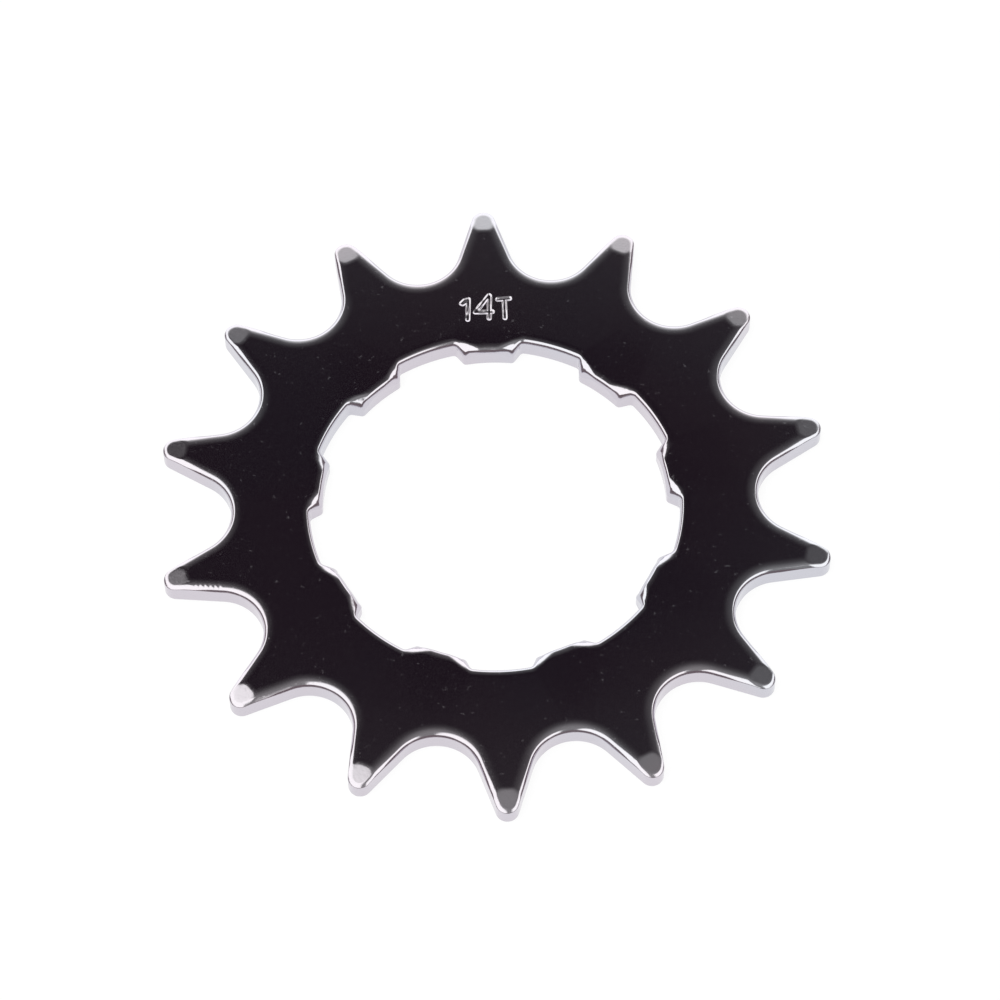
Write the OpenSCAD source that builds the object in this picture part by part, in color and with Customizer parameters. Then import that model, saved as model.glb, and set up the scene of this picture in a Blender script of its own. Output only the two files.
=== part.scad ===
// Single speed cog: a flat steel sprocket for a roller chain, blanked in one piece.
// Its bore has lugs that slide into the grooves of a splined hub body.
// The cog lies on its plain side, with one tooth and one lug on the +Y axis.

/* [Chain] */
// Distance from one chain roller to the next
chain_pitch = 12.7; // [11.5:0.1:13.5]
// Diameter of a chain roller
roller_d = 7.75; // [6.8:0.05:8.1]

/* [Teeth] */
// Number of teeth round the rim
teeth = 14; // [13:1:22]
// Extra radius that a tooth gap has over its roller
seat_ease = 0.26; // [0.05:0.01:0.35]
// How far a tooth stands out past the pitch circle
tooth_reach = 3.25; // [2.8:0.05:3.5]
// Radius of the round end of a tooth
tip_r = 1.1; // [0.9:0.05:1.3]
// Length of the coined flat on the end of a tooth
flat_len = 2.3; // [1.6:0.1:2.8]
// Slope of the coined flat, in degrees
flat_slope = 9; // [7:0.5:13]

/* [Plate] */
// Thickness of the plate
thick = 2.3; // [1.8:0.1:3.2]

/* [Bore] */
// Diameter of the bore between its lugs
bore_d = 34.7; // [34:0.1:35.5]
// Diameter of the circle that the ends of the lugs lie on
lug_d = 32.3; // [31.6:0.1:32.6]
// Number of lugs round the bore
lugs = 9; // [6:1:11]
// Width of a lug halfway up its height
lug_w = 5.5; // [4.8:0.1:6]
// Slope of a lug's flanks from its own middle line, in degrees
lug_slope = 38; // [30:1:42]
// Radius of the two corners at the end of a lug
lug_end_r = 0.45; // [0.3:0.05:0.5]
// Radius of the two corners at the foot of a lug
lug_foot_r = 0.45; // [0.3:0.05:0.5]

/* [Edges] */
// Width of the rolled edge that blanking leaves on the upper side
roll_w = 1; // [0.7:0.05:1.1]
// Depth of that rolled edge at the wall
roll_h = 0.2; // [0.1:0.01:0.25]

/* [Hidden] */
$fn = 96;

// Overshoot that carries a cutter clear of the face it starts from
clear = 0.2;
// How far a straight flank stands behind the arcs it runs into, so that they cross cleanly
lead_in = 0.004;

function unit(a) = [cos(a), sin(a)];
// A point at radius r, turned clockwise from +Y by the angle a
function clock(r, a) = [r * sin(a), r * cos(a)];
function turned(p, a) = [p.x * cos(a) - p.y * sin(a), p.x * sin(a) + p.y * cos(a)];
function mirrored(points) = [for (i = [len(points) - 1 : -1 : 0]) [-points[i].x, points[i].y]];

// Tooth form: the gap and the tooth end are arcs, and one straight flank runs into both
tooth_step = 360 / teeth;
pitch_r = chain_pitch / (2 * sin(tooth_step / 2));
seat_r = roller_d / 2 + seat_ease;
seat_c = clock(pitch_r + seat_ease, tooth_step / 2);
outer_r = pitch_r + tooth_reach;
tip_c = [0, outer_r - tip_r];
tip_to_seat = seat_c - tip_c;
flank_out = atan2(tip_to_seat.y, tip_to_seat.x) + acos((tip_r + seat_r) / norm(tip_to_seat));
flank_top = tip_c + (tip_r - lead_in) * unit(flank_out);
flank_foot = seat_c - (seat_r - lead_in) * unit(flank_out);

// Lug form: a trapezoid whose end lies on a circle, with four rounded corners
bore_r = bore_d / 2;
lug_r = lug_d / 2;
lug_root_r = bore_r + roll_w + clear;
lug_mid_r = (bore_r + lug_r) / 2;
lug_out = unit(-lug_slope);
lug_along = unit(90 - lug_slope);
lug_mid = [lug_w / 2, sqrt(pow(lug_mid_r, 2) - pow(lug_w / 2, 2))];
lug_face = lug_mid * lug_out;
// The point at radius r that lies a distance d in front of the lug's flank
function off_flank(r, d) =
    lug_out * (lug_face + d) + lug_along * sqrt(pow(r, 2) - pow(lug_face + d, 2));
lug_end_c = off_flank(lug_r + lug_end_r - lead_in, -lug_end_r);
lug_foot_c = off_flank(bore_r - lug_foot_r + lead_in, lug_foot_r - 2 * lead_in);
end_turn = atan2(lug_end_c.x, lug_end_c.y);
foot_turn = atan2(lug_foot_c.x, lug_foot_c.y);

module each_tooth() {
    for (i = [0 : teeth - 1]) rotate(-i * tooth_step) children();
}

module each_lug() {
    for (i = [0 : lugs - 1]) rotate(-i * 360 / lugs) children();
}

module both_sides() {
    children();
    mirror([1, 0, 0]) children();
}

// A round cut of radius r, right through the plate
module through(r) {
    translate([0, 0, -clear]) cylinder(r = r, h = thick + 2 * clear);
}

// Section of the cut that rolls an edge: the wall stands at x = wall, and the metal lies at larger x.
// An arc leaves the upper face smoothly and meets the wall at the depth roll_h.
module roll_section(wall = 0) {
    arc_r = (pow(roll_w, 2) + pow(roll_h, 2)) / (2 * roll_h);
    difference() {
        translate([wall - clear, thick - 2 * roll_h]) square([clear + roll_w, 2 * roll_h + clear]);
        translate([wall + roll_w, thick - arc_r]) circle(r = arc_r);
    }
}

// The rolled edge of a hole of radius r
module round_roll(r) {
    rotate_extrude() roll_section(r);
}

// The toothed blank: straight flanks first, then the round tooth ends and the round gaps
module blank() {
    corners = [[-flank_foot.x, flank_foot.y], [-flank_top.x, flank_top.y], flank_top, flank_foot, seat_c];
    difference() {
        union() {
            linear_extrude(height = thick)
                polygon([for (i = [0 : teeth - 1]) for (p = corners) turned(p, -i * tooth_step)]);
            each_tooth() translate(tip_c) cylinder(r = tip_r, h = thick);
        }
        each_tooth() translate(seat_c) through(seat_r);
    }
}

module bored_blank() {
    difference() {
        blank();
        through(bore_r);
        round_roll(bore_r);
    }
}

// Flats are pressed on the tooth ends, to lead the chain on
module coined_blank() {
    difference() {
        bored_blank();
        each_tooth() translate([-2 * tip_r, outer_r - flat_len, thick])
            rotate([-flat_slope, 0, 0]) cube([4 * tip_r, 2 * flat_len, thick]);
    }
}

// The edge is rolled round each tooth gap, and the roll dies out along the flanks
module rim() {
    difference() {
        coined_blank();
        each_tooth() translate(seat_c) round_roll(seat_r);
    }
}

// One lug, from its end on the lug circle out into the plate that carries it
module lug() {
    side = [clock(lug_r - clear, end_turn), lug_end_c, lug_end_c + (lug_end_r - lead_in) * lug_out,
        off_flank(lug_root_r, -lead_in)];
    difference() {
        union() {
            linear_extrude(height = thick) polygon(concat(side, mirrored(side)));
            both_sides() translate(lug_end_c) cylinder(r = lug_end_r, h = thick);
        }
        through(lug_r);
        round_roll(lug_r);
        both_sides() translate(off_flank(lug_r - clear, 0)) rotate([90, 0, 180 - lug_slope])
            linear_extrude(height = 2 * (lug_root_r - lug_r)) roll_section();
    }
}

// The rounded corner where a lug's flank runs into the bore
module lug_foot() {
    difference() {
        linear_extrude(height = thick - roll_h)
            polygon([lug_foot_c, clock(bore_r + clear, foot_turn), off_flank(bore_r + clear, -clear),
                lug_foot_c - (lug_foot_r + clear) * lug_out]);
        translate(lug_foot_c) through(lug_foot_r);
    }
}

module cog() {
    color([0.62, 0.6, 0.64]) {
        rim();
        each_lug() {
            lug();
            both_sides() lug_foot();
        }
    }
}

cog();
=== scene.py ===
"""Looks of a single speed cog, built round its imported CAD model.

The cog is one blank of plated steel. Here it gets what the CAD solid leaves plain: the fine roll of
its edges, the soft creases of its coined tooth ends, the stamped tooth count and the chrome plate.
The cog's sizes are millimetres, and its mesh is scaled to metres as it leaves the bench. Sizes of
the studio and the camera are metres.
"""

import logging
import math
from dataclasses import dataclass
from enum import Enum
from typing import Any

import bmesh
import bpy
from bmesh.types import BMEdge, BMesh, BMFace, BMVert
from mathutils import Matrix, Vector, noise


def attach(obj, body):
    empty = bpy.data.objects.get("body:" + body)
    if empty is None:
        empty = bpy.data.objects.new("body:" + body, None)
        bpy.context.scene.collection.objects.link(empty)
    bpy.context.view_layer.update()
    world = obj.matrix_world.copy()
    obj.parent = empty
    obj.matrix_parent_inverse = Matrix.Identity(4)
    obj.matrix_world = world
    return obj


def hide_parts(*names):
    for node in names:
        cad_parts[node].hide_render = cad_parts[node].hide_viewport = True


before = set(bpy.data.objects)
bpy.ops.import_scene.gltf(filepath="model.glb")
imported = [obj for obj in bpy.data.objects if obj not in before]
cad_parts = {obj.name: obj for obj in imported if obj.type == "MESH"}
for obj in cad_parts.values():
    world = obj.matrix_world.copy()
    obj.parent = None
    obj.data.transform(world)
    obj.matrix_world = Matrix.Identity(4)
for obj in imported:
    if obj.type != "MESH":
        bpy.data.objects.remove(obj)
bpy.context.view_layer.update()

Colour = tuple[float, float, float, float]

# Metres in a millimetre
MM = 0.001
# Millimetres within which two vertices are taken for one
WELD = 0.001
UP = Vector((0, 0, 1))

log = logging.getLogger("cog")


def clock(radius: float, angle: float) -> Vector:
    """Gives the point at a radius, turned clockwise from +Y by an angle in radians."""
    return Vector((radius * math.sin(angle), radius * math.cos(angle), 0))


def unit(angle: float) -> Vector:
    """Gives the unit vector at an angle in radians, anticlockwise from +X."""
    return Vector((math.cos(angle), math.sin(angle), 0))


def heading(vector: Vector) -> float:
    """Gives a vector's angle in radians, anticlockwise from +X."""
    return math.atan2(vector.y, vector.x)


def smooth(low: float, high: float, value: float) -> float:
    """Rises smoothly from 0 at low to 1 at high."""
    share = min(max((value - low) / (high - low), 0.0), 1.0)
    return share * share * (3 - 2 * share)


def soft_min(first: float, second: float, width: float) -> float:
    """Gives the smaller of two heights, with their crossing rounded off.

    Args:
        first: One height.
        second: The other height.
        width: Difference of the heights below which they blend.

    Returns:
        The blended height, never above either of the two.
    """
    if width <= 0:
        return min(first, second)
    blend = max(width - abs(first - second), 0.0) / width
    return min(first, second) - blend * blend * width / 4


class Metal(Enum):
    """The side of an anticlockwise outline on which the metal lies."""

    LEFT = 1
    RIGHT = -1


class Layer(Enum):
    """What each vertex of the cog carries: a number per vertex, by the layer's name."""

    # Distance from the wall
    GAP = "gap"
    # 1 where that wall is the bore's
    BORED = "bored"
    # 1 on the walls and at their edges, 0 on the flat faces
    EDGE = "edge"
    # 1 on a coined flat
    COINED = "coined"

    def of(self, bm: BMesh) -> bmesh.types.BMLayerItem:
        """Gives the layer of a mesh."""
        return bm.verts.layers.float[self.value]


class Value:
    """A socket of a shader graph that takes part in sums."""

    def __init__(self, graph: "Graph", socket: bpy.types.NodeSocket) -> None:
        """Keeps the graph and the socket."""
        self.graph = graph
        self.socket = socket

    def _sum(self, operation: str, *values: Any) -> "Value":
        """Adds a Math node of an operation on some values."""
        sockets = dict(enumerate(values))
        return self.graph.node("ShaderNodeMath", {"operation": operation}, sockets)["Value"]

    def __add__(self, other: Any) -> "Value":
        """Adds."""
        return self._sum("ADD", self, other)

    __radd__ = __add__

    def __sub__(self, other: Any) -> "Value":
        """Subtracts."""
        return self._sum("SUBTRACT", self, other)

    def __rsub__(self, other: Any) -> "Value":
        """Subtracts this from another."""
        return self._sum("SUBTRACT", other, self)

    def __mul__(self, other: Any) -> "Value":
        """Multiplies."""
        return self._sum("MULTIPLY", self, other)

    __rmul__ = __mul__

    def __truediv__(self, other: Any) -> "Value":
        """Divides."""
        return self._sum("DIVIDE", self, other)

    def root(self) -> "Value":
        """Gives the square root."""
        return self._sum("SQRT", self)

    def larger(self, other: Any) -> "Value":
        """Gives the larger of two."""
        return self._sum("MAXIMUM", self, other)

    def smaller(self, other: Any) -> "Value":
        """Gives the smaller of two."""
        return self._sum("MINIMUM", self, other)

    def rise(self, low: float, high: float) -> "Value":
        """Rises smoothly as this goes from low to high.

        Args:
            low: Where the rise starts, at 0.
            high: Where it ends, at 1.

        Returns:
            The risen value.
        """
        settings = {"interpolation_type": "SMOOTHSTEP"}
        sockets = {"Value": self, "From Min": low, "From Max": high}
        return self.graph.node("ShaderNodeMapRange", settings, sockets)["Result"]


class Node:
    """A node whose outputs are read by name as values."""

    def __init__(self, graph: "Graph", node: bpy.types.Node) -> None:
        """Keeps the graph and the node."""
        self.graph = graph
        self.node = node

    def __getitem__(self, name: str) -> Value:
        """Gives the output of a name that is in use."""
        found = [s for s in self.node.outputs if s.name == name and s.enabled]
        return Value(self.graph, found[0])


@dataclass(frozen=True)
class Pattern:
    """A noise on a piece's own coordinates, so many waves to a millimetre along each axis."""

    waves: tuple[float, float, float]
    detail: float
    roughness: float = 0.5


class Graph:
    """The shader nodes of a material or of the world."""

    def __init__(self, owner: bpy.types.ID) -> None:
        """Empties the node tree of a material or world."""
        owner.use_nodes = True
        self.tree = owner.node_tree
        self.tree.nodes.clear()

    def node(self, kind: str, settings: dict[str, Any], sockets: dict[Any, Any]) -> Node:
        """Adds a node.

        Args:
            kind: The node's type.
            settings: Its properties, set before its sockets.
            sockets: Values or links of its inputs, by name or number.

        Returns:
            The node.
        """
        made = self.tree.nodes.new(kind)
        for name, value in settings.items():
            setattr(made, name, value)
        for name, value in sockets.items():
            if isinstance(name, int):
                socket = made.inputs[name]
            else:
                socket = next(s for s in made.inputs if s.name == name and s.enabled)
            if isinstance(value, Value):
                self.tree.links.new(value.socket, socket)
            else:
                socket.default_value = value
        return Node(self, made)

    def mix(self, factor: Any, first: Any, second: Any) -> Value:
        """Mixes two colours by a factor."""
        sockets = {"Factor": factor, "A": first, "B": second}
        return self.node("ShaderNodeMix", {"data_type": "RGBA"}, sockets)["Result"]

    def shader_mix(self, factor: Any, first: Value, second: Value) -> Value:
        """Mixes two shaders by a factor."""
        return self.node("ShaderNodeMixShader", {}, {0: factor, 1: first, 2: second})["Shader"]

    def attribute(self, layer: Layer) -> Value:
        """Reads what each vertex carries in a layer."""
        return self.node("ShaderNodeAttribute", {"attribute_name": layer.value}, {})["Fac"]

    def noise(self, pattern: Pattern) -> Value:
        """Adds a noise texture.

        Args:
            pattern: Its waves and its detail.

        Returns:
            Its grey value.
        """
        own = self.node("ShaderNodeTexCoord", {}, {})["Object"]
        sockets = {"Vector": own, "Scale": tuple(wave / MM for wave in pattern.waves)}
        placed = self.node("ShaderNodeMapping", {"vector_type": "POINT"}, sockets)["Vector"]
        sockets = {
            "Vector": placed, "Scale": 1, "Detail": pattern.detail, "Roughness": pattern.roughness
        }
        return self.node("ShaderNodeTexNoise", {}, sockets)["Fac"]


class Pen:
    """Draws a chain of edges by spinning and extruding the chain's last vertex."""

    def __init__(self, bm: BMesh, start: Vector) -> None:
        """Starts a chain at a point."""
        self.bm = bm
        self.end = bm.verts.new(start)

    def arc(self, centre: Vector, turn: float, steps: int) -> None:
        """Goes on round a centre.

        Args:
            centre: Centre of the arc.
            turn: Angle in radians, anticlockwise.
            steps: Number of edges.
        """
        made = bmesh.ops.spin(
            self.bm, geom=[self.end], cent=centre, axis=UP, angle=turn, steps=steps,
            use_duplicate=False,
        )
        self.end = next(g for g in made["geom_last"] if isinstance(g, BMVert))

    def line(self, end: Vector, steps: int) -> None:
        """Goes on straight.

        Args:
            end: Where the line ends.
            steps: Number of edges.
        """
        stride = (end - self.end.co) / steps
        for _ in range(steps):
            self.end = bmesh.ops.extrude_vert_indiv(self.bm, verts=[self.end])["verts"][0]
            bmesh.ops.translate(self.bm, verts=[self.end], vec=stride)


def chain_of(start: BMVert) -> set[BMVert]:
    """Finds all vertices that edges join to a vertex.

    Args:
        start: The vertex.

    Returns:
        It and all that hang together with it.
    """
    found, open_ends = {start}, [start]
    while open_ends:
        vert = open_ends.pop()
        for edge in vert.link_edges:
            other = edge.other_vert(vert)
            if other not in found:
                found.add(other)
                open_ends.append(other)
    return found


def all_but(bm: BMesh, before: set[BMVert]) -> list[BMVert | BMEdge]:
    """Gives a mesh's vertices and edges, without some vertices and their edges."""
    verts = [v for v in bm.verts if v not in before]
    return verts + [e for e in bm.edges if not set(e.verts) & before]


def repeat_round(bm: BMesh, start: BMVert, copies: int) -> list[BMVert]:
    """Mirrors a half form over X, repeats it round the Z axis and joins it into a loop.

    Args:
        bm: The mesh that holds the half form.
        start: A vertex of the half form on the mirror plane.
        copies: How often the form is repeated round the axis.

    Returns:
        The loop's vertices in order, anticlockwise seen from above.
    """
    before = set(bm.verts) - chain_of(start)
    geom = all_but(bm, before)
    bmesh.ops.mirror(bm, geom=geom, matrix=Matrix.Identity(4), merge_dist=WELD, axis="X")
    bmesh.ops.spin(
        bm, geom=all_but(bm, before), cent=(0, 0, 0), axis=UP,
        angle=math.tau / copies * (copies - 1), steps=copies - 1, use_duplicate=True,
    )
    fresh = [v for v in bm.verts if v not in before]
    bmesh.ops.remove_doubles(bm, verts=fresh, dist=WELD)
    return walk(next(v for v in bm.verts if v not in before))


def open_edges(vert: BMVert) -> list[BMEdge]:
    """Gives a vertex's edges that have a face on one side at most."""
    return [e for e in vert.link_edges if len(e.link_faces) < 2]


def walk(start: BMVert) -> list[BMVert]:
    """Follows a closed chain of open edges.

    Args:
        start: A vertex of the chain.

    Returns:
        The chain's vertices in order, anticlockwise seen from above.
    """
    loop, edge, vert = [start], open_edges(start)[0], start
    while (vert := edge.other_vert(vert)) is not start:
        loop.append(vert)
        edge = next(e for e in open_edges(vert) if e is not edge)
    area = sum(a.co.x * b.co.y - b.co.x * a.co.y for a, b in zip(loop, loop[1:] + loop[:1]))
    return loop if area > 0 else loop[::-1]


def ring_edges(bm: BMesh, loop: list[BMVert]) -> list[BMEdge]:
    """Gives the edges between the vertices of a closed loop."""
    return [bm.edges.get(pair) for pair in zip(loop, loop[1:] + loop[:1])]


def meeting(corner: Vector, first: Vector, other: Vector, second: Vector, distance: float) -> Vector:
    """Finds where two edges meet once both have moved to their left.

    Args:
        corner: End of the first edge.
        first: Unit direction of the first edge.
        other: Start of the second edge.
        second: Unit direction of the second edge.
        distance: How far the edges moved.

    Returns:
        The meeting point.
    """
    if corner == other:
        both = first + second
        return corner + both.yx.to_3d() * Vector((-1, 1, 0)) * distance / (1 + first.dot(second))
    start = corner + Vector((-first.y, first.x, 0)) * distance
    goal = other + Vector((-second.y, second.x, 0)) * distance
    share = (goal - start).cross(second).z / first.cross(second).z
    return start + first * share


def moved_outline(points: list[Vector], distance: float) -> list[Vector]:
    """Moves a closed outline to its left, its edges kept parallel, and drops edges that shrink away.

    Args:
        points: The outline's points in order.
        distance: How far it moves.

    Returns:
        The new place of each point; those round a dropped edge share one place.
    """
    ends = points[1:] + points[:1]
    ways = [(b - a).normalized() for a, b in zip(points, ends)]
    alive = list(range(len(points)))
    while True:
        starts = {
            b: meeting(ends[a], ways[a], points[b], ways[b], distance)
            for a, b in zip(alive[-1:] + alive[:-1], alive)
        }
        after = dict(zip(alive, alive[1:] + alive[:1]))
        left = [a for a in alive if (starts[after[a]] - starts[a]).dot(ways[a]) > 0]
        if len(left) == len(alive):
            break
        alive = left
    places, place = [], starts[alive[0]]
    for index in reversed(range(len(points))):
        place = starts.get(index, place)
        places.append(place)
    return places[::-1]


def next_ring(bm: BMesh, loop: list[BMVert], distance: float) -> list[BMVert]:
    """Extrudes a closed loop and moves the new loop sideways, keeping its edges parallel.

    Args:
        bm: The mesh.
        loop: The loop's vertices in order.
        distance: How far to the loop's left the new loop lies.

    Returns:
        The new loop's vertices in order, with those welded that met.
    """
    places = moved_outline([Vector((v.co.x, v.co.y, 0)) for v in loop], distance)
    made = bmesh.ops.extrude_edge_only(bm, edges=ring_edges(bm, loop))["geom"]
    fresh = {g for g in made if isinstance(g, BMVert)}
    ring = [
        next(e.other_vert(v) for e in v.link_edges if e.other_vert(v) in fresh) for v in loop
    ]
    for vert, place in zip(ring, places):
        vert.co.xy = place.xy
    if distance:
        bmesh.ops.remove_doubles(bm, verts=ring, dist=WELD)
    return [v for v in ring if v.is_valid]


def fill(bm: BMesh, borders: list[BMEdge], normal: Vector) -> None:
    """Fills the flat area between closed loops with triangles that face one way."""
    bmesh.ops.triangle_fill(
        bm, use_beauty=True, use_dissolve=False, edges=borders, normal=normal
    )


@dataclass(frozen=True)
class ToothForm:
    """The outline of the rim: round gaps for the chain's rollers, and round tooth ends."""

    pitch: float = 12.7
    roller: float = 7.75
    teeth: int = 14
    seat_ease: float = 0.26
    # A hair less than in the CAD, so that the cog stays inside its box
    reach: float = 3.248
    tip_radius: float = 1.1
    tip_steps: int = 10
    # Length of the flank's outer stretch, whose steps are the finer ones, and the steps of both
    flank_fine: float = 1.7
    flank_steps: tuple[int, int] = (10, 22)
    seat_steps: int = 16

    @property
    def step(self) -> float:
        """Angle from one tooth to the next, in radians."""
        return math.tau / self.teeth

    @property
    def outer_radius(self) -> float:
        """Radius over the tooth ends."""
        return self.pitch / (2 * math.sin(self.step / 2)) + self.reach

    @property
    def seat_centre(self) -> Vector:
        """Centre of the first gap's arc."""
        return clock(self.outer_radius - self.reach + self.seat_ease, self.step / 2)

    def outline(self, bm: BMesh) -> list[BMVert]:
        """Draws the rim's closed outline.

        Args:
            bm: The mesh to draw in.

        Returns:
            The outline's vertices in order.
        """
        seat_radius = self.roller / 2 + self.seat_ease
        tip_centre = Vector((0, self.outer_radius - self.tip_radius, 0))
        across = self.seat_centre - tip_centre
        lean = heading(across) + math.acos((self.tip_radius + seat_radius) / across.length)
        flank_foot = self.seat_centre - seat_radius * unit(lean)
        pen = Pen(bm, Vector((0, self.outer_radius, 0)))
        first = pen.end
        pen.arc(tip_centre, lean - math.pi / 2, self.tip_steps)
        flank = flank_foot - pen.end.co
        pen.line(pen.end.co + flank.normalized() * self.flank_fine, self.flank_steps[0])
        pen.line(flank_foot, self.flank_steps[1])
        pen.arc(self.seat_centre, math.pi / 2 - self.step / 2 - lean, self.seat_steps)
        return repeat_round(bm, first, self.teeth)


@dataclass(frozen=True)
class LugForm:
    """The outline of the bore: a circle with lugs for the grooves of the hub body."""

    bore_radius: float = 17.35
    end_radius: float = 16.15
    lugs: int = 9
    width: float = 5.5
    slope: float = math.radians(38)
    end_corner: float = 0.45
    foot_corner: float = 0.45
    end_steps: int = 14
    flank_steps: int = 6
    corner_steps: int = 6
    bore_steps: int = 9

    @property
    def height(self) -> float:
        """How far a lug stands out of the bore's circle."""
        return self.bore_radius - self.end_radius

    def off_flank(self, radius: float, distance: float) -> Vector:
        """Finds a point beside the flank of the lug on the +Y axis.

        Args:
            radius: The point's distance from the cog's axis.
            distance: How far it lies in front of the flank.

        Returns:
            The point.
        """
        out, along = unit(-self.slope), unit(math.pi / 2 - self.slope)
        middle_radius = (self.bore_radius + self.end_radius) / 2
        half = self.width / 2
        face = Vector((half, math.sqrt(middle_radius**2 - half**2), 0)).dot(out) + distance
        return out * face + along * math.sqrt(radius**2 - face**2)

    def depths(self, point: Vector) -> tuple[float, float, float]:
        """Tells how deep in the metal a point lies.

        Args:
            point: A point of the plate.

        Returns:
            Its distances from the bore's circle, the nearest lug's end and that lug's nearer flank.
        """
        radius, turn = point.xy.length, math.atan2(point.x, point.y)
        step = math.tau / self.lugs
        own = clock(radius, abs(turn - round(turn / step) * step))
        out = unit(-self.slope)
        flank = self.off_flank(self.bore_radius, 0.0).dot(out) - own.dot(out)
        return radius - self.bore_radius, radius - self.end_radius, flank

    def outline(self, bm: BMesh) -> list[BMVert]:
        """Draws the bore's closed outline.

        Args:
            bm: The mesh to draw in.

        Returns:
            The outline's vertices in order.
        """
        end_centre = self.off_flank(self.end_radius + self.end_corner, -self.end_corner)
        foot_centre = self.off_flank(self.bore_radius - self.foot_corner, self.foot_corner)
        end_turn = math.pi / 2 - heading(end_centre)
        foot_turn = math.pi / 2 - heading(foot_centre)
        pen = Pen(bm, Vector((0, self.end_radius, 0)))
        first = pen.end
        pen.arc(Vector(), -end_turn, self.end_steps)
        pen.arc(end_centre, math.pi / 2 + end_turn - self.slope, self.corner_steps)
        pen.line(foot_centre - self.foot_corner * unit(-self.slope), self.flank_steps)
        pen.arc(foot_centre, self.slope - math.pi / 2 - foot_turn, self.corner_steps)
        pen.arc(Vector(), foot_turn - math.pi / self.lugs, self.bore_steps)
        return repeat_round(bm, first, self.lugs)


@dataclass(frozen=True)
class Roll:
    """A section that falls from the flat face towards a wall, the steeper the nearer."""

    width: float
    depth: float

    def fall(self, gap: float) -> float:
        """Gives how far the section lies under the face at a distance from the wall."""
        return self.depth * max(1 - gap / self.width, 0.0) ** 2


@dataclass(frozen=True)
class Bend:
    """A quarter of an ellipse that bends a rolled edge down into its wall."""

    width: float
    depth: float

    def fall(self, gap: float) -> float:
        """Gives how far the bend has come down at a distance from the wall."""
        inset = min(max(1 - gap / self.width, 0.0), 1.0)
        return self.depth * (1 - math.sqrt(1 - inset**2))


@dataclass(frozen=True)
class EdgeRoll:
    """An upper edge as blanking leaves it: a wide shallow roll, and a short steep one on top."""

    roll: Roll
    bend: Roll
    # Distances of the rings of vertices from the wall, and of further ones in shares of the roll
    gaps: tuple[float, ...] = (0.004, 0.012, 0.026, 0.045, 0.075, 0.11, 0.16, 0.22, 0.3, 0.39)
    shares: tuple[float, ...] = (0.43, 0.56, 0.7, 0.85, 1.0, 1.12)

    @property
    def rings(self) -> list[float]:
        """How far from the wall each ring of vertices lies, the last one on the flat face."""
        return [*self.gaps, *(self.roll.width * share for share in self.shares)]


@dataclass(frozen=True)
class CoinedEnd:
    """The sloping flat that is pressed on each tooth end."""

    length: float = 2.3
    slope: float = math.radians(9)
    # Height difference over which the flat blends with the face, and over which its look sets in
    softness: float = 0.034
    onset: float = 0.05
    # Where the mesh is cut across a tooth, from the start of the flat
    cuts: tuple[float, ...] = (-0.26, -0.18, -0.1, -0.03, 0.03, 0.1, 0.18, 0.26)

    def fall(self, ahead: float) -> float:
        """Gives how far the flat's plane lies under the face at a distance past its start."""
        return ahead * math.tan(self.slope)


@dataclass(frozen=True)
class Chatter:
    """Ripples that a shaking tool left on the rolled edge of one tooth."""

    tooth: int = 10
    # The stretch along the tooth, and how softly it starts and ends
    low: float = 26.5
    high: float = 29.4
    fade: float = 0.5
    # How far from the wall they reach
    reach: float = 0.75
    pitch: float = 0.44
    depth: float = 0.012

    def fall(self, tooth: int, along: float, aside: float, gap: float) -> float:
        """Gives how far the ripples lie under the edge.

        Args:
            tooth: Number of the tooth, clockwise from +Y.
            along: Distance from the cog's axis, along the tooth.
            aside: Distance clockwise from the tooth's middle.
            gap: Distance from the wall.

        Returns:
            Distance under the rolled edge.
        """
        if tooth != self.tooth or aside > 0:
            return 0.0
        share = smooth(self.low, self.low + self.fade, along)
        share *= 1 - smooth(self.high - self.fade, self.high, along)
        share *= 1 - smooth(self.reach / 2, self.reach, gap)
        return self.depth * share * (0.5 + 0.5 * math.sin(math.tau * along / self.pitch))


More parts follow.
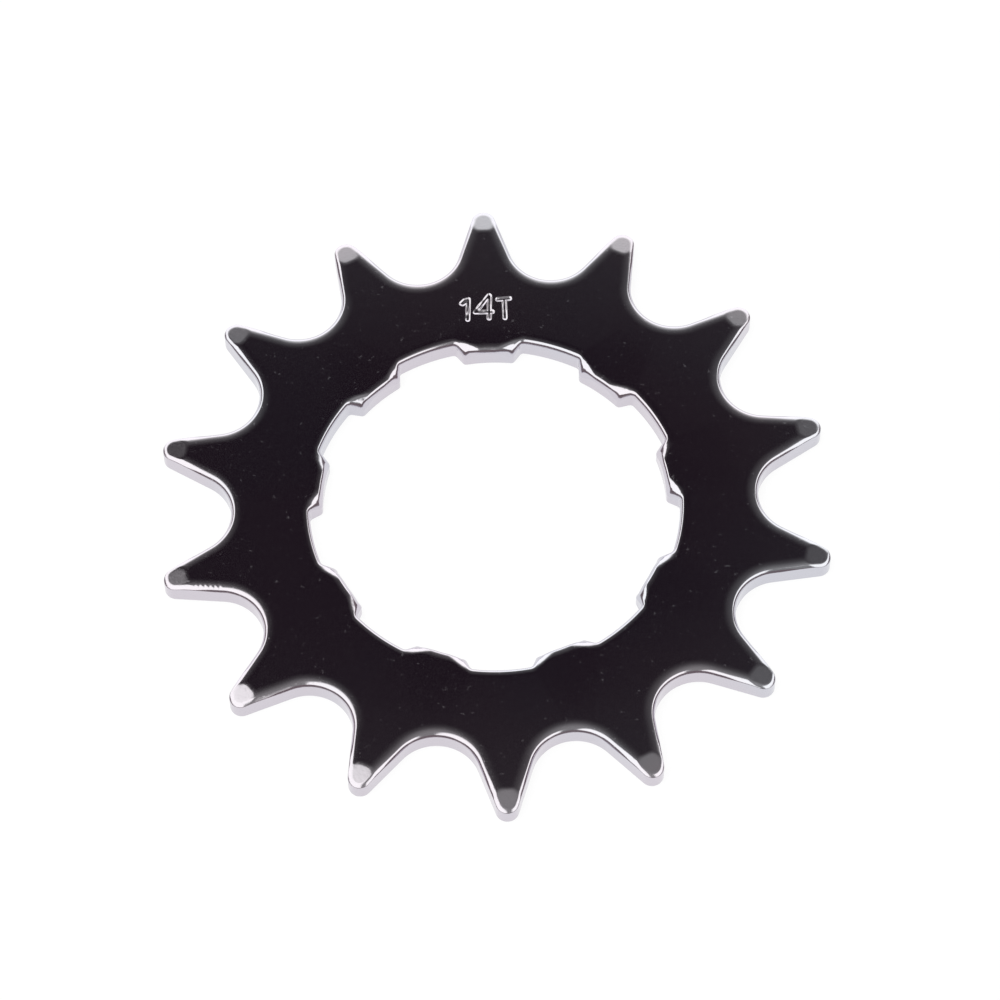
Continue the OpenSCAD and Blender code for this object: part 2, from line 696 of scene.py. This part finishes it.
@dataclass(frozen=True)
class StampedMark:
    """The tooth count, stamped into the face with round-ended strokes."""

    half_width: float = 0.27
    wall: float = 0.21
    # The depth, its mean share, how much that share varies, and the waves to a millimetre of it
    depth: float = 0.125
    mean: float = 0.75
    unevenness: float = 0.6
    patchiness: float = 1.3
    # The fine grid that the mark is pressed into: its pitch and two corners
    pitch: float = 0.045
    low: Vector = Vector((-3.2, 19.0, 0))
    high: Vector = Vector((2.95, 23.0, 0))
    strokes: tuple[tuple[tuple[float, float], ...], ...] = (
        ((-2.4, 21.5), (-2.1, 21.8), (-1.74, 21.9)),
        ((-2.3, 21.45), (-1.95, 21.65)),
        ((-1.74, 21.9), (-1.86, 19.72)),
        ((0.25, 22.3), (-1.12, 20.5), (0.5, 20.48)),
        ((0.3, 22.25), (0.17, 19.78)),
        ((1.08, 21.82), (2.2, 21.87)),
        ((1.68, 21.75), (1.7, 19.76)),
    )

    def patch(self, bm: BMesh) -> list[BMVert]:
        """Lays a fine grid where the mark goes.

        Args:
            bm: The mesh to lay it in.

        Returns:
            The grid's vertices.
        """
        size, middle = self.high - self.low, (self.high + self.low) / 2
        place = Matrix.Translation(middle) @ Matrix.Diagonal((size.x / 2, size.y / 2, 1, 1))
        made = bmesh.ops.create_grid(
            bm, x_segments=round(size.x / self.pitch), y_segments=round(size.y / self.pitch),
            size=1, matrix=place,
        )
        return made["verts"]

    def fall(self, point: Vector) -> float:
        """Gives how deep the mark is.

        Args:
            point: A point of the face.

        Returns:
            The depth there.
        """
        flat = Vector((point.x, point.y))
        nearest = self.half_width
        for stroke in self.strokes:
            for start, end in zip(stroke, stroke[1:]):
                a, b = Vector(start), Vector(end)
                share = min(max((flat - a).dot(b - a) / (b - a).length_squared, 0.0), 1.0)
                nearest = min(nearest, (flat - a.lerp(b, share)).length)
        waves = noise.noise(Vector((point.x, point.y, 0)) * self.patchiness)
        edge = smooth(self.half_width - self.wall, self.half_width, nearest)
        return self.depth * (self.mean + self.unevenness * waves) * (1 - edge)


@dataclass(frozen=True)
class PlatedSteel:
    """Bright chrome plate on tumbled steel."""

    name: str = "plated_steel"
    colour: Colour = (0.63, 0.59, 0.65, 1)
    cool: Colour = (0.60, 0.60, 0.66, 1)
    # Patterns: where the plate is cool, its orange peel and grain, the upright scores of the walls,
    # the pits of the coined flats and dull specks
    clouds: Pattern = Pattern((0.05, 0.05, 0.05), 2)
    peel: Pattern = Pattern((0.6, 0.6, 0.6), 2)
    grain: Pattern = Pattern((9, 9, 9), 3)
    scores: Pattern = Pattern((7, 7, 0.25), 3, 0.6)
    pits: Pattern = Pattern((3.5, 3.5, 3.5), 3, 0.65)
    specks: Pattern = Pattern((2.4, 2.4, 2.4), 1)
    # Roughness of the clean plate, and what each pattern adds to it
    roughness: float = 0.10
    grain_roughness: float = 0.04
    score_roughness: float = 0.1
    pit_roughness: float = 0.07
    speck_roughness: float = 0.11
    # Height of the relief in millimetres, and the share of it that each pattern has
    relief: float = 0.006
    peel_share: float = 0.25
    grain_share: float = 0.01
    score_share: float = 0.12
    pit_share: float = 0.22

    def material(self) -> bpy.types.Material:
        """Builds the material.

        Returns:
            The material.
        """
        made = bpy.data.materials.new(self.name)
        graph = Graph(made)
        peel, grain = graph.noise(self.peel), graph.noise(self.grain)
        scored = graph.attribute(Layer.EDGE) * graph.noise(self.scores)
        pitted = graph.attribute(Layer.COINED) * graph.noise(self.pits)
        specks = graph.noise(self.specks).rise(0.68, 0.8)
        colour = graph.mix(graph.noise(self.clouds).rise(0.45, 0.65), self.colour, self.cool)
        rough = self.roughness + grain.rise(0.5, 0.8) * self.grain_roughness
        rough = rough + scored * self.score_roughness + pitted * self.pit_roughness
        rough = rough + specks * self.speck_roughness
        height = peel * self.peel_share + grain * self.grain_share
        height = height + scored * self.score_share + pitted * self.pit_share
        sockets = {"Strength": 1.0, "Distance": self.relief * MM, "Height": height}
        bump = graph.node("ShaderNodeBump", {}, sockets)["Normal"]
        sockets = {"Base Color": colour, "Metallic": 1.0, "Roughness": rough, "Normal": bump}
        shader = graph.node("ShaderNodeBsdfPrincipled", {}, sockets)["BSDF"]
        graph.node("ShaderNodeOutputMaterial", {}, {"Surface": shader})
        return made


@dataclass(frozen=True)
class Cog:
    """The whole cog, in one piece."""

    thick: float = 2.3
    rim: ToothForm = ToothForm()
    bore: LugForm = LugForm()
    rim_edge: EdgeRoll = EdgeRoll(Roll(1.15, 0.16), Roll(0.32, 0.22))
    # Towards a tooth's end these take the place of the rim's bend, over this stretch
    tip_roll: Roll = Roll(0.4, 0.15)
    tip_bend: Bend = Bend(0.04, 0.05)
    tip_stretch: float = 2.0
    # How much shallower the tip's roll is where it faces +Y, and where that sets in
    far_ease: float = 0.5
    far_turn: tuple[float, float] = (-0.2, 0.5)
    bore_edge: EdgeRoll = EdgeRoll(Roll(0.95, 0.13), Roll(0.32, 0.27))
    lug_edge: EdgeRoll = EdgeRoll(Roll(1.2, 0.17), Roll(0.42, 0.42))
    lug_corner: Roll = Roll(1.6, 0.85)
    # Height difference over which a lug's roll blends with the bore's
    lug_foot: float = 0.12
    # Distance from a lug's end up to which its own bend holds in full
    lug_end: float = 0.1
    coined: CoinedEnd = CoinedEnd()
    chatter: Chatter = Chatter()
    mark: StampedMark = StampedMark()
    # Distance from a wall over which the look of an edge fades
    edge_reach: float = 0.4
    # The round at the wall's foot, and the narrow bands of mesh that keep the wall's shading plain
    lower_round: float = 0.1
    wall_band: float = 0.04
    lower_band: float = 0.2
    finish: PlatedSteel = PlatedSteel()

    @property
    def flat_start(self) -> float:
        """Distance from the cog's axis at which the coined flats start."""
        return self.rim.outer_radius - self.coined.length

    def build(self) -> bpy.types.Object:
        """Builds the cog's mesh and dresses it.

        Returns:
            The piece.
        """
        bm = bmesh.new()
        for layer in Layer:
            bm.verts.layers.float.new(layer.value)
        rim, bore = self.rim.outline(bm), self.bore.outline(bm)
        stamped = self.lay_upper_side(bm, rim, bore)
        self.press_upper_side(bm, stamped)
        low_rim = self.wall(bm, walk(rim[0]), Metal.LEFT)
        low_bore = self.wall(bm, walk(bore[0]), Metal.RIGHT)
        fill(bm, ring_edges(bm, low_rim) + ring_edges(bm, low_bore), -UP)
        return self.dress(bm)

    def lay_upper_side(self, bm: BMesh, rim: list[BMVert], bore: list[BMVert]) -> set[BMVert]:
        """Fills the upper side, still flat, between the two outlines.

        Args:
            bm: The mesh.
            rim: The rim's vertices in order.
            bore: The bore's vertices in order.

        Returns:
            The vertices that the mark is stamped into.
        """
        gap, bored = Layer.GAP.of(bm), Layer.BORED.of(bm)
        for vert in bore:
            vert[bored] = 1.0
        rim_inner = self.rings(bm, rim, self.rim_edge.rings, Metal.LEFT)
        bore_inner = self.rings(bm, bore, self.bore_edge.rings, Metal.RIGHT)
        stamped = set(self.mark.patch(bm))
        for vert in stamped:
            vert[gap] = self.rim_edge.roll.width * 2
        borders = ring_edges(bm, rim_inner) + ring_edges(bm, bore_inner)
        borders += [e for e in bm.edges if e.is_boundary and e.verts[0] in stamped]
        fill(bm, borders, UP)
        self.cut_creases(bm)
        bmesh.ops.triangulate(bm, faces=bm.faces)
        return stamped

    def press_upper_side(self, bm: BMesh, stamped: set[BMVert]) -> None:
        """Gives each vertex of the upper side its height and what it carries for the finish.

        Args:
            bm: The mesh.
            stamped: The vertices that the mark is stamped into.
        """
        gap, bored, edge, coined = (layer.of(bm) for layer in Layer)
        for vert in bm.verts:
            in_bore = vert[bored] > 0.5
            vert.co.z = self.top(vert.co, vert[gap], in_bore)
            if vert in stamped:
                vert.co.z -= self.mark.fall(vert.co)
            vert[edge] = 1 - smooth(0.0, self.edge_reach, vert[gap])
            vert[coined] = 0.0 if in_bore else self.pressed(vert.co, vert[gap])

    def rings(self, bm: BMesh, loop: list[BMVert], gaps: list[float], metal: Metal) -> list[BMVert]:
        """Extrudes a loop into the metal, ring by ring.

        Args:
            bm: The mesh.
            loop: The outline's vertices in order.
            gaps: Distances of the rings from the outline.
            metal: The side of the loop on which the metal lies.

        Returns:
            The last ring's vertices in order.
        """
        layer = Layer.GAP.of(bm)
        done = 0.0
        for distance in gaps:
            loop = next_ring(bm, loop, (distance - done) * metal.value)
            for vert in loop:
                vert[layer] = distance
            done = distance
        return loop

    def cut_creases(self, bm: BMesh) -> None:
        """Cuts each tooth across where its coined flat starts.

        Args:
            bm: The mesh, with its upper side filled.
        """
        for tooth in range(self.rim.teeth):
            along = clock(1, tooth * self.rim.step)
            near = [f for f in bm.faces if self.on_tooth(f, along)]
            for offset in self.coined.cuts:
                geom = list(dict.fromkeys(g for f in near for g in (f, *f.edges, *f.verts)))
                made = bmesh.ops.bisect_plane(
                    bm, geom=geom, dist=0.003, plane_co=along * (self.flat_start + offset),
                    plane_no=along,
                )
                near = [g for g in made["geom"] if isinstance(g, BMFace)]

    def on_tooth(self, face: BMFace, along: Vector) -> bool:
        """Tells whether a face reaches over the start of a tooth's coined flat.

        Args:
            face: A face of the upper side.
            along: Unit vector along the tooth.

        Returns:
            Whether it does.
        """
        reach = max(v.co.dot(along) for v in face.verts)
        aside = abs(face.calc_center_median().dot(Vector((along.y, -along.x, 0))))
        return reach > self.flat_start - 0.3 and aside < self.rim.tip_radius * 2.2

    def top(self, point: Vector, gap: float, bored: bool) -> float:
        """Gives the height of the upper side.

        Args:
            point: Place on the upper side.
            gap: Its distance from the wall.
            bored: Whether that wall is the bore's.

        Returns:
            Height over the lower face.
        """
        if bored:
            return self.thick - self.bore_fall(point, gap)
        tooth, along, aside = self.tooth_frame(point)
        rolled = self.thick - self.rim_edge.roll.fall(gap)
        pressed = self.thick - self.coined.fall(along - self.flat_start)
        worn = smooth(self.flat_start - self.tip_stretch, self.flat_start, along)
        worn_fall = self.tip_roll.fall(gap) * self.near_side(tooth, along, aside)
        worn_fall += self.tip_bend.fall(gap)
        fall = (1 - worn) * self.rim_edge.bend.fall(gap) + worn * worn_fall
        fall += self.chatter.fall(tooth, along, aside, gap)
        return soft_min(rolled, pressed, self.coined.softness) - fall

    def tooth_frame(self, point: Vector) -> tuple[int, float, float]:
        """Tells where a point lies on its tooth.

        Args:
            point: A point of the plate.

        Returns:
            The tooth's number, the point's distance along the tooth from the cog's axis, and its
            distance clockwise from the tooth's middle.
        """
        tooth = round(math.atan2(point.x, point.y) / self.rim.step) % self.rim.teeth
        along = clock(1, tooth * self.rim.step)
        flat = Vector((point.x, point.y, 0))
        return tooth, flat.dot(along), flat.dot(Vector((along.y, -along.x, 0)))

    def near_side(self, tooth: int, along: float, aside: float) -> float:
        """Tells how deep a tooth's own roll is; it is deepest where the edge faces -Y.

        Args:
            tooth: Number of the tooth, clockwise from +Y.
            along: Distance from the cog's axis, along the tooth.
            aside: Distance clockwise from the tooth's middle.

        Returns:
            The share of the roll's depth.
        """
        ahead = max(along - self.rim.outer_radius + self.rim.tip_radius, 0.0)
        facing = unit(math.pi / 2 - tooth * self.rim.step) * ahead
        facing += unit(-tooth * self.rim.step) * aside
        return 1 - self.far_ease * smooth(*self.far_turn, facing.normalized().y)

    def pressed(self, point: Vector, gap: float) -> float:
        """Tells how much a point of the rim belongs to a coined flat.

        Args:
            point: Place on the upper side.
            gap: Its distance from the wall.

        Returns:
            A share from 0 to 1.
        """
        rolled = self.thick - self.rim_edge.roll.fall(gap)
        flat = self.thick - self.coined.fall(self.tooth_frame(point)[1] - self.flat_start)
        return smooth(0.0, self.coined.onset, rolled - flat)

    def bore_fall(self, point: Vector, gap: float) -> float:
        """Gives how far the bore's edge lies under the face; a lug's corners fall the most.

        Args:
            point: Place on the upper side.
            gap: Its distance from the wall.

        Returns:
            Distance under the face.
        """
        bored, ended, flanked = self.bore.depths(point)
        ring = self.bore_edge.roll.fall(bored)
        lug = self.lug_edge.roll.fall(ended) + self.lug_edge.roll.fall(flanked)
        corner = self.lug_corner.fall(max(ended, 0.0)) * self.lug_corner.fall(max(flanked, 0.0))
        lug += corner / self.lug_corner.depth
        near_end = 1 - smooth(self.lug_end, self.bore.height, ended)
        bend = self.bore_edge.bend.fall(gap)
        bend += near_end * (self.lug_edge.bend.fall(gap) - bend)
        return soft_min(ring, lug, min(self.lug_foot, ring + lug)) + bend

    def wall(self, bm: BMesh, loop: list[BMVert], metal: Metal) -> list[BMVert]:
        """Extrudes an outline down to the lower face, with a small round at its foot.

        Args:
            bm: The mesh.
            loop: The outline's vertices in order, at the height of the upper edge.
            metal: The side of the loop on which the metal lies.

        Returns:
            A ring of vertices on the lower face.
        """
        edge = Layer.EDGE.of(bm)
        loop = next_ring(bm, loop, 0.0)
        for vert in loop:
            vert.co.z -= self.wall_band
            vert[edge] = 1.0
        r = self.lower_round
        turns = [math.radians(a) for a in (22.5, 45, 67.5, 90)]
        foot = [(r * (1 - math.cos(a)), r * (1 - math.sin(a))) for a in turns]
        done = 0.0
        for inset, height in [(0.0, r + self.wall_band), (0.0, r), *foot, (r + self.lower_band, 0.0)]:
            loop = next_ring(bm, loop, (inset - done) * metal.value)
            for vert in loop:
                vert.co.z = height
                vert[edge] = 1.0 if height else 0.0
            done = inset
        return loop

    def dress(self, bm: BMesh) -> bpy.types.Object:
        """Scales the mesh to metres, makes it an object and gives it its finish.

        Args:
            bm: The mesh, which is freed.

        Returns:
            The piece.
        """
        bmesh.ops.recalc_face_normals(bm, faces=bm.faces)
        bmesh.ops.scale(bm, vec=(MM, MM, MM), verts=bm.verts)
        for face in bm.faces:
            face.smooth = True
        mesh = bpy.data.meshes.new("chromed_cog")
        bm.to_mesh(mesh)
        bm.free()
        piece = bpy.data.objects.new("chromed_cog", mesh)
        bpy.context.scene.collection.objects.link(piece)
        mesh.materials.append(self.finish.material())
        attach(piece, "root")
        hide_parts("cog")
        return piece


def sheet(name: str, half: float) -> bpy.types.Object:
    """Lays a square of the studio, which isn't part of the cog.

    Args:
        name: Its name.
        half: Half of its side.

    Returns:
        The sheet.
    """
    bm = bmesh.new()
    bmesh.ops.create_grid(bm, x_segments=1, y_segments=1, size=half)
    mesh = bpy.data.meshes.new(name)
    bm.to_mesh(mesh)
    bm.free()
    made = bpy.data.objects.new(name, mesh)
    bpy.context.scene.collection.objects.link(made)
    return made


@dataclass(frozen=True)
class Border:
    """A straight soft border on the ceiling, across which light sets in."""

    x: float
    y: float
    low: float
    high: float

    def light(self, x: Value, y: Value) -> Value:
        """Rises from 0 to 1 as the weighted sum of the two places goes from low to high."""
        return (x * self.x + y * self.y).rise(self.low, self.high)


@dataclass(frozen=True)
class Ceiling:
    """A white ceiling that the chrome reflects, with a dark soft-edged opening over the cog.

    Places on it are in shares of its height, so the opening keeps its look at any height.
    """

    height: float = 0.5
    half: float = 1.8
    dark: Colour = (0.011, 0.005, 0.0105, 1)
    bright: Colour = (0.99, 1.0, 0.96, 1)
    strength: float = 1.55
    # Middle of the opening on the Y axis, and how its distances shrink to the left and right
    opening: float = 0.52
    squash: tuple[float, float] = (0.4, 0.72)
    # Faint light in the opening: where it starts, how it grows and how far
    dusk_start: float = 0.08
    dusk_growth: float = 0.216
    dusk_most: float = 0.075
    # Light at the far side of the opening
    glow_start: float = 0.38
    glow_end: float = 0.98
    glow_light: float = 0.92
    glow_borders: tuple[Border, ...] = (Border(0, 1, 0.0, 0.4), Border(-0.75, 1, -0.1, 0.25))
    # Faint light on the near side
    near: Border = Border(0, -1, -0.3, 0.0)
    near_light: float = 0.1
    # Windows, each as bright as the darkest of its borders: near left, near right and far left
    windows: tuple[tuple[Border, ...], ...] = (
        (Border(-1, -1, 0.02, 0.09), Border(-1, 0, 0.03, 0.12)),
        (Border(1, -0.85, 0.4, 0.65), Border(1, 0.45, 0.0, 0.15)),
        (Border(-1, 0, 0.58, 0.7),),
    )

    def build(self) -> None:
        """Hangs the ceiling where neither the camera nor the table sees it."""
        ceiling = sheet("ceiling", self.half * self.height)
        ceiling.location = (0, 0, self.height)
        ceiling.visible_camera = False
        ceiling.visible_diffuse = False
        ceiling.visible_shadow = False
        made = bpy.data.materials.new("ceiling")
        graph = Graph(made)
        own = graph.node("ShaderNodeTexCoord", {}, {})["Object"]
        parts = graph.node("ShaderNodeSeparateXYZ", {}, {"Vector": own})
        share = self.light(parts["X"] / self.height, parts["Y"] / self.height)
        sockets = {"Color": self.dark, "Strength": 1.0}
        black = graph.node("ShaderNodeEmission", {}, sockets)["Emission"]
        sockets = {"Color": self.bright, "Strength": self.strength}
        white = graph.node("ShaderNodeEmission", {}, sockets)["Emission"]
        shader = graph.shader_mix(share, black, white)
        graph.node("ShaderNodeOutputMaterial", {}, {"Surface": shader})
        ceiling.data.materials.append(made)

    def light(self, x: Value, y: Value) -> Value:
        """Gives the light at a place on the ceiling.

        Args:
            x: The place, to the right.
            y: The place, away from the camera.

        Returns:
            The share of full light.
        """
        left, right = self.squash
        aside, away = (x * right).larger(x * -left), y - self.opening
        far = (aside * aside + away * away).root()
        dusk = ((far - self.dusk_start) * self.dusk_growth).larger(0).smaller(self.dusk_most)
        glow = far.rise(self.glow_start, self.glow_end)
        for border in self.glow_borders:
            glow = glow * border.light(x, y)
        share = dusk + glow * self.glow_light + self.near.light(x, y) * self.near_light
        for window in self.windows:
            pane = window[0].light(x, y)
            for border in window[1:]:
                pane = pane.smaller(border.light(x, y))
            share = share.larger(pane)
        return share.smaller(1)


@dataclass(frozen=True)
class Lamp:
    """One soft lamp over the table, which the chrome doesn't show."""

    size: float = 0.8
    power: float = 9
    place: tuple[float, float, float] = (-0.3, -0.2, 1.2)

    def build(self) -> None:
        """Hangs the lamp and turns it to the cog."""
        data = bpy.data.lights.new("key", "AREA")
        data.shape = "DISK"
        data.size = self.size
        data.energy = self.power
        lamp = bpy.data.objects.new("key", data)
        bpy.context.scene.collection.objects.link(lamp)
        lamp.location = self.place
        lamp.rotation_euler = (-lamp.location).to_track_quat("-Z", "Y").to_euler()
        lamp.visible_glossy = False


@dataclass(frozen=True)
class Camera:
    """The photograph's camera, fitted to the cog's outlines."""

    elevation: float = math.radians(62.3)
    azimuth: float = math.radians(-1.5)
    roll: float = math.radians(-0.68)
    distance: float = 0.4632
    # In millimetres, on a sensor of this width
    lens: float = 177.55
    sensor: float = 36
    shift: tuple[float, float] = (0.005, 0.0128)
    clip: tuple[float, float] = (0.01, 50)

    def build(self) -> bpy.types.Object:
        """Places the camera and makes it the scene's own.

        Returns:
            The camera.
        """
        level = math.cos(self.elevation)
        back = Vector((
            level * math.sin(self.azimuth), -level * math.cos(self.azimuth), math.sin(self.elevation)
        ))
        data = bpy.data.cameras.new("camera")
        data.lens = self.lens
        data.sensor_width = self.sensor
        data.shift_x, data.shift_y = self.shift
        data.clip_start, data.clip_end = self.clip
        made = bpy.data.objects.new("camera", data)
        bpy.context.scene.collection.objects.link(made)
        turn = (-back).to_track_quat("-Z", "Y").to_matrix().to_4x4()
        made.matrix_world = (
            Matrix.Translation(back * self.distance) @ turn @ Matrix.Rotation(self.roll, 4, "Z")
        )
        bpy.context.scene.camera = made
        return made


@dataclass(frozen=True)
class Studio:
    """A white table under soft light, with a ceiling that the chrome reflects."""

    floor_half: float = 3.0
    # How far the table lies under the cog, so that the two don't flicker
    floor_drop: float = 0.00002
    white: Colour = (1, 1, 1, 1)
    floor_colour: Colour = (0.9, 0.9, 0.9, 1)
    # How far the table is its plain white where it is seen; the rest keeps the cog's shadow
    floor_glow: float = 0.9
    surround: Colour = (0.9, 0.9, 0.9, 1)
    ceiling: Ceiling = Ceiling()
    lamp: Lamp = Lamp()
    # What chrome sees low down: at the front and the sides, at the back, and where the back starts
    skirting: Colour = (0.2, 0.16, 0.17, 1)
    back_wall: Colour = (1.6, 1.6, 1.6, 1)
    back_turn: tuple[float, float] = (0.62, 0.85)

    def build(self) -> None:
        """Builds the table, the ceiling, the surround and the lamp."""
        self.floor()
        self.ceiling.build()
        self.world()
        self.lamp.build()

    def floor(self) -> None:
        """Builds the table, which keeps a faint shadow of the cog."""
        table = sheet("table", self.floor_half)
        table.location = (0, 0, -self.floor_drop)
        made = bpy.data.materials.new("table_white")
        graph = Graph(made)
        path = graph.node("ShaderNodeLightPath", {}, {})
        seen = path["Is Camera Ray"] + path["Is Glossy Ray"] + path["Is Transmission Ray"]
        paper = graph.node("ShaderNodeBsdfDiffuse", {}, {"Color": self.floor_colour})["BSDF"]
        sockets = {"Color": self.white, "Strength": 1.0}
        glow = graph.node("ShaderNodeEmission", {}, sockets)["Emission"]
        shader = graph.shader_mix(seen.smaller(1) * self.floor_glow, paper, glow)
        graph.node("ShaderNodeOutputMaterial", {}, {"Surface": shader})
        table.data.materials.append(made)

    def world(self) -> None:
        """Sets the white surround, which chrome sees dark low down at the front and the sides."""
        world = bpy.data.worlds.new("surround")
        bpy.context.scene.world = world
        graph = Graph(world)
        path = graph.node("ShaderNodeLightPath", {}, {})
        way = graph.node("ShaderNodeTexCoord", {}, {})["Generated"]
        parts = graph.node("ShaderNodeSeparateXYZ", {}, {"Vector": way})
        level = (parts["X"] * parts["X"] + parts["Y"] * parts["Y"]).root()
        seen = (path["Is Camera Ray"] + path["Is Transmission Ray"]).smaller(1)
        back = (parts["Y"] / level).rise(*self.back_turn)
        tone = graph.mix(back, self.skirting, self.back_wall)
        shine = graph.mix(path["Is Glossy Ray"], self.surround, tone)
        sockets = {"Color": shine, "Strength": 1.0}
        plain = graph.node("ShaderNodeBackground", {}, sockets)["Background"]
        sockets = {"Color": self.white, "Strength": 1.0}
        white = graph.node("ShaderNodeBackground", {}, sockets)["Background"]
        shader = graph.shader_mix(seen, plain, white)
        graph.node("ShaderNodeOutputWorld", {}, {"Surface": shader})


def main() -> None:
    """Builds the cog, the studio and the camera."""
    logging.basicConfig(level=logging.INFO, format="%(message)s")
    bpy.context.scene.view_settings.view_transform = "Standard"
    piece = Cog().build()
    log.info("%s: %d faces", piece.name, len(piece.data.polygons))
    Studio().build()
    log.info("studio: table, ceiling, surround and lamp")
    camera = Camera().build()
    log.info("%s: %.1f mm lens", camera.name, camera.data.lens)


if __name__ == "__main__":
    main()
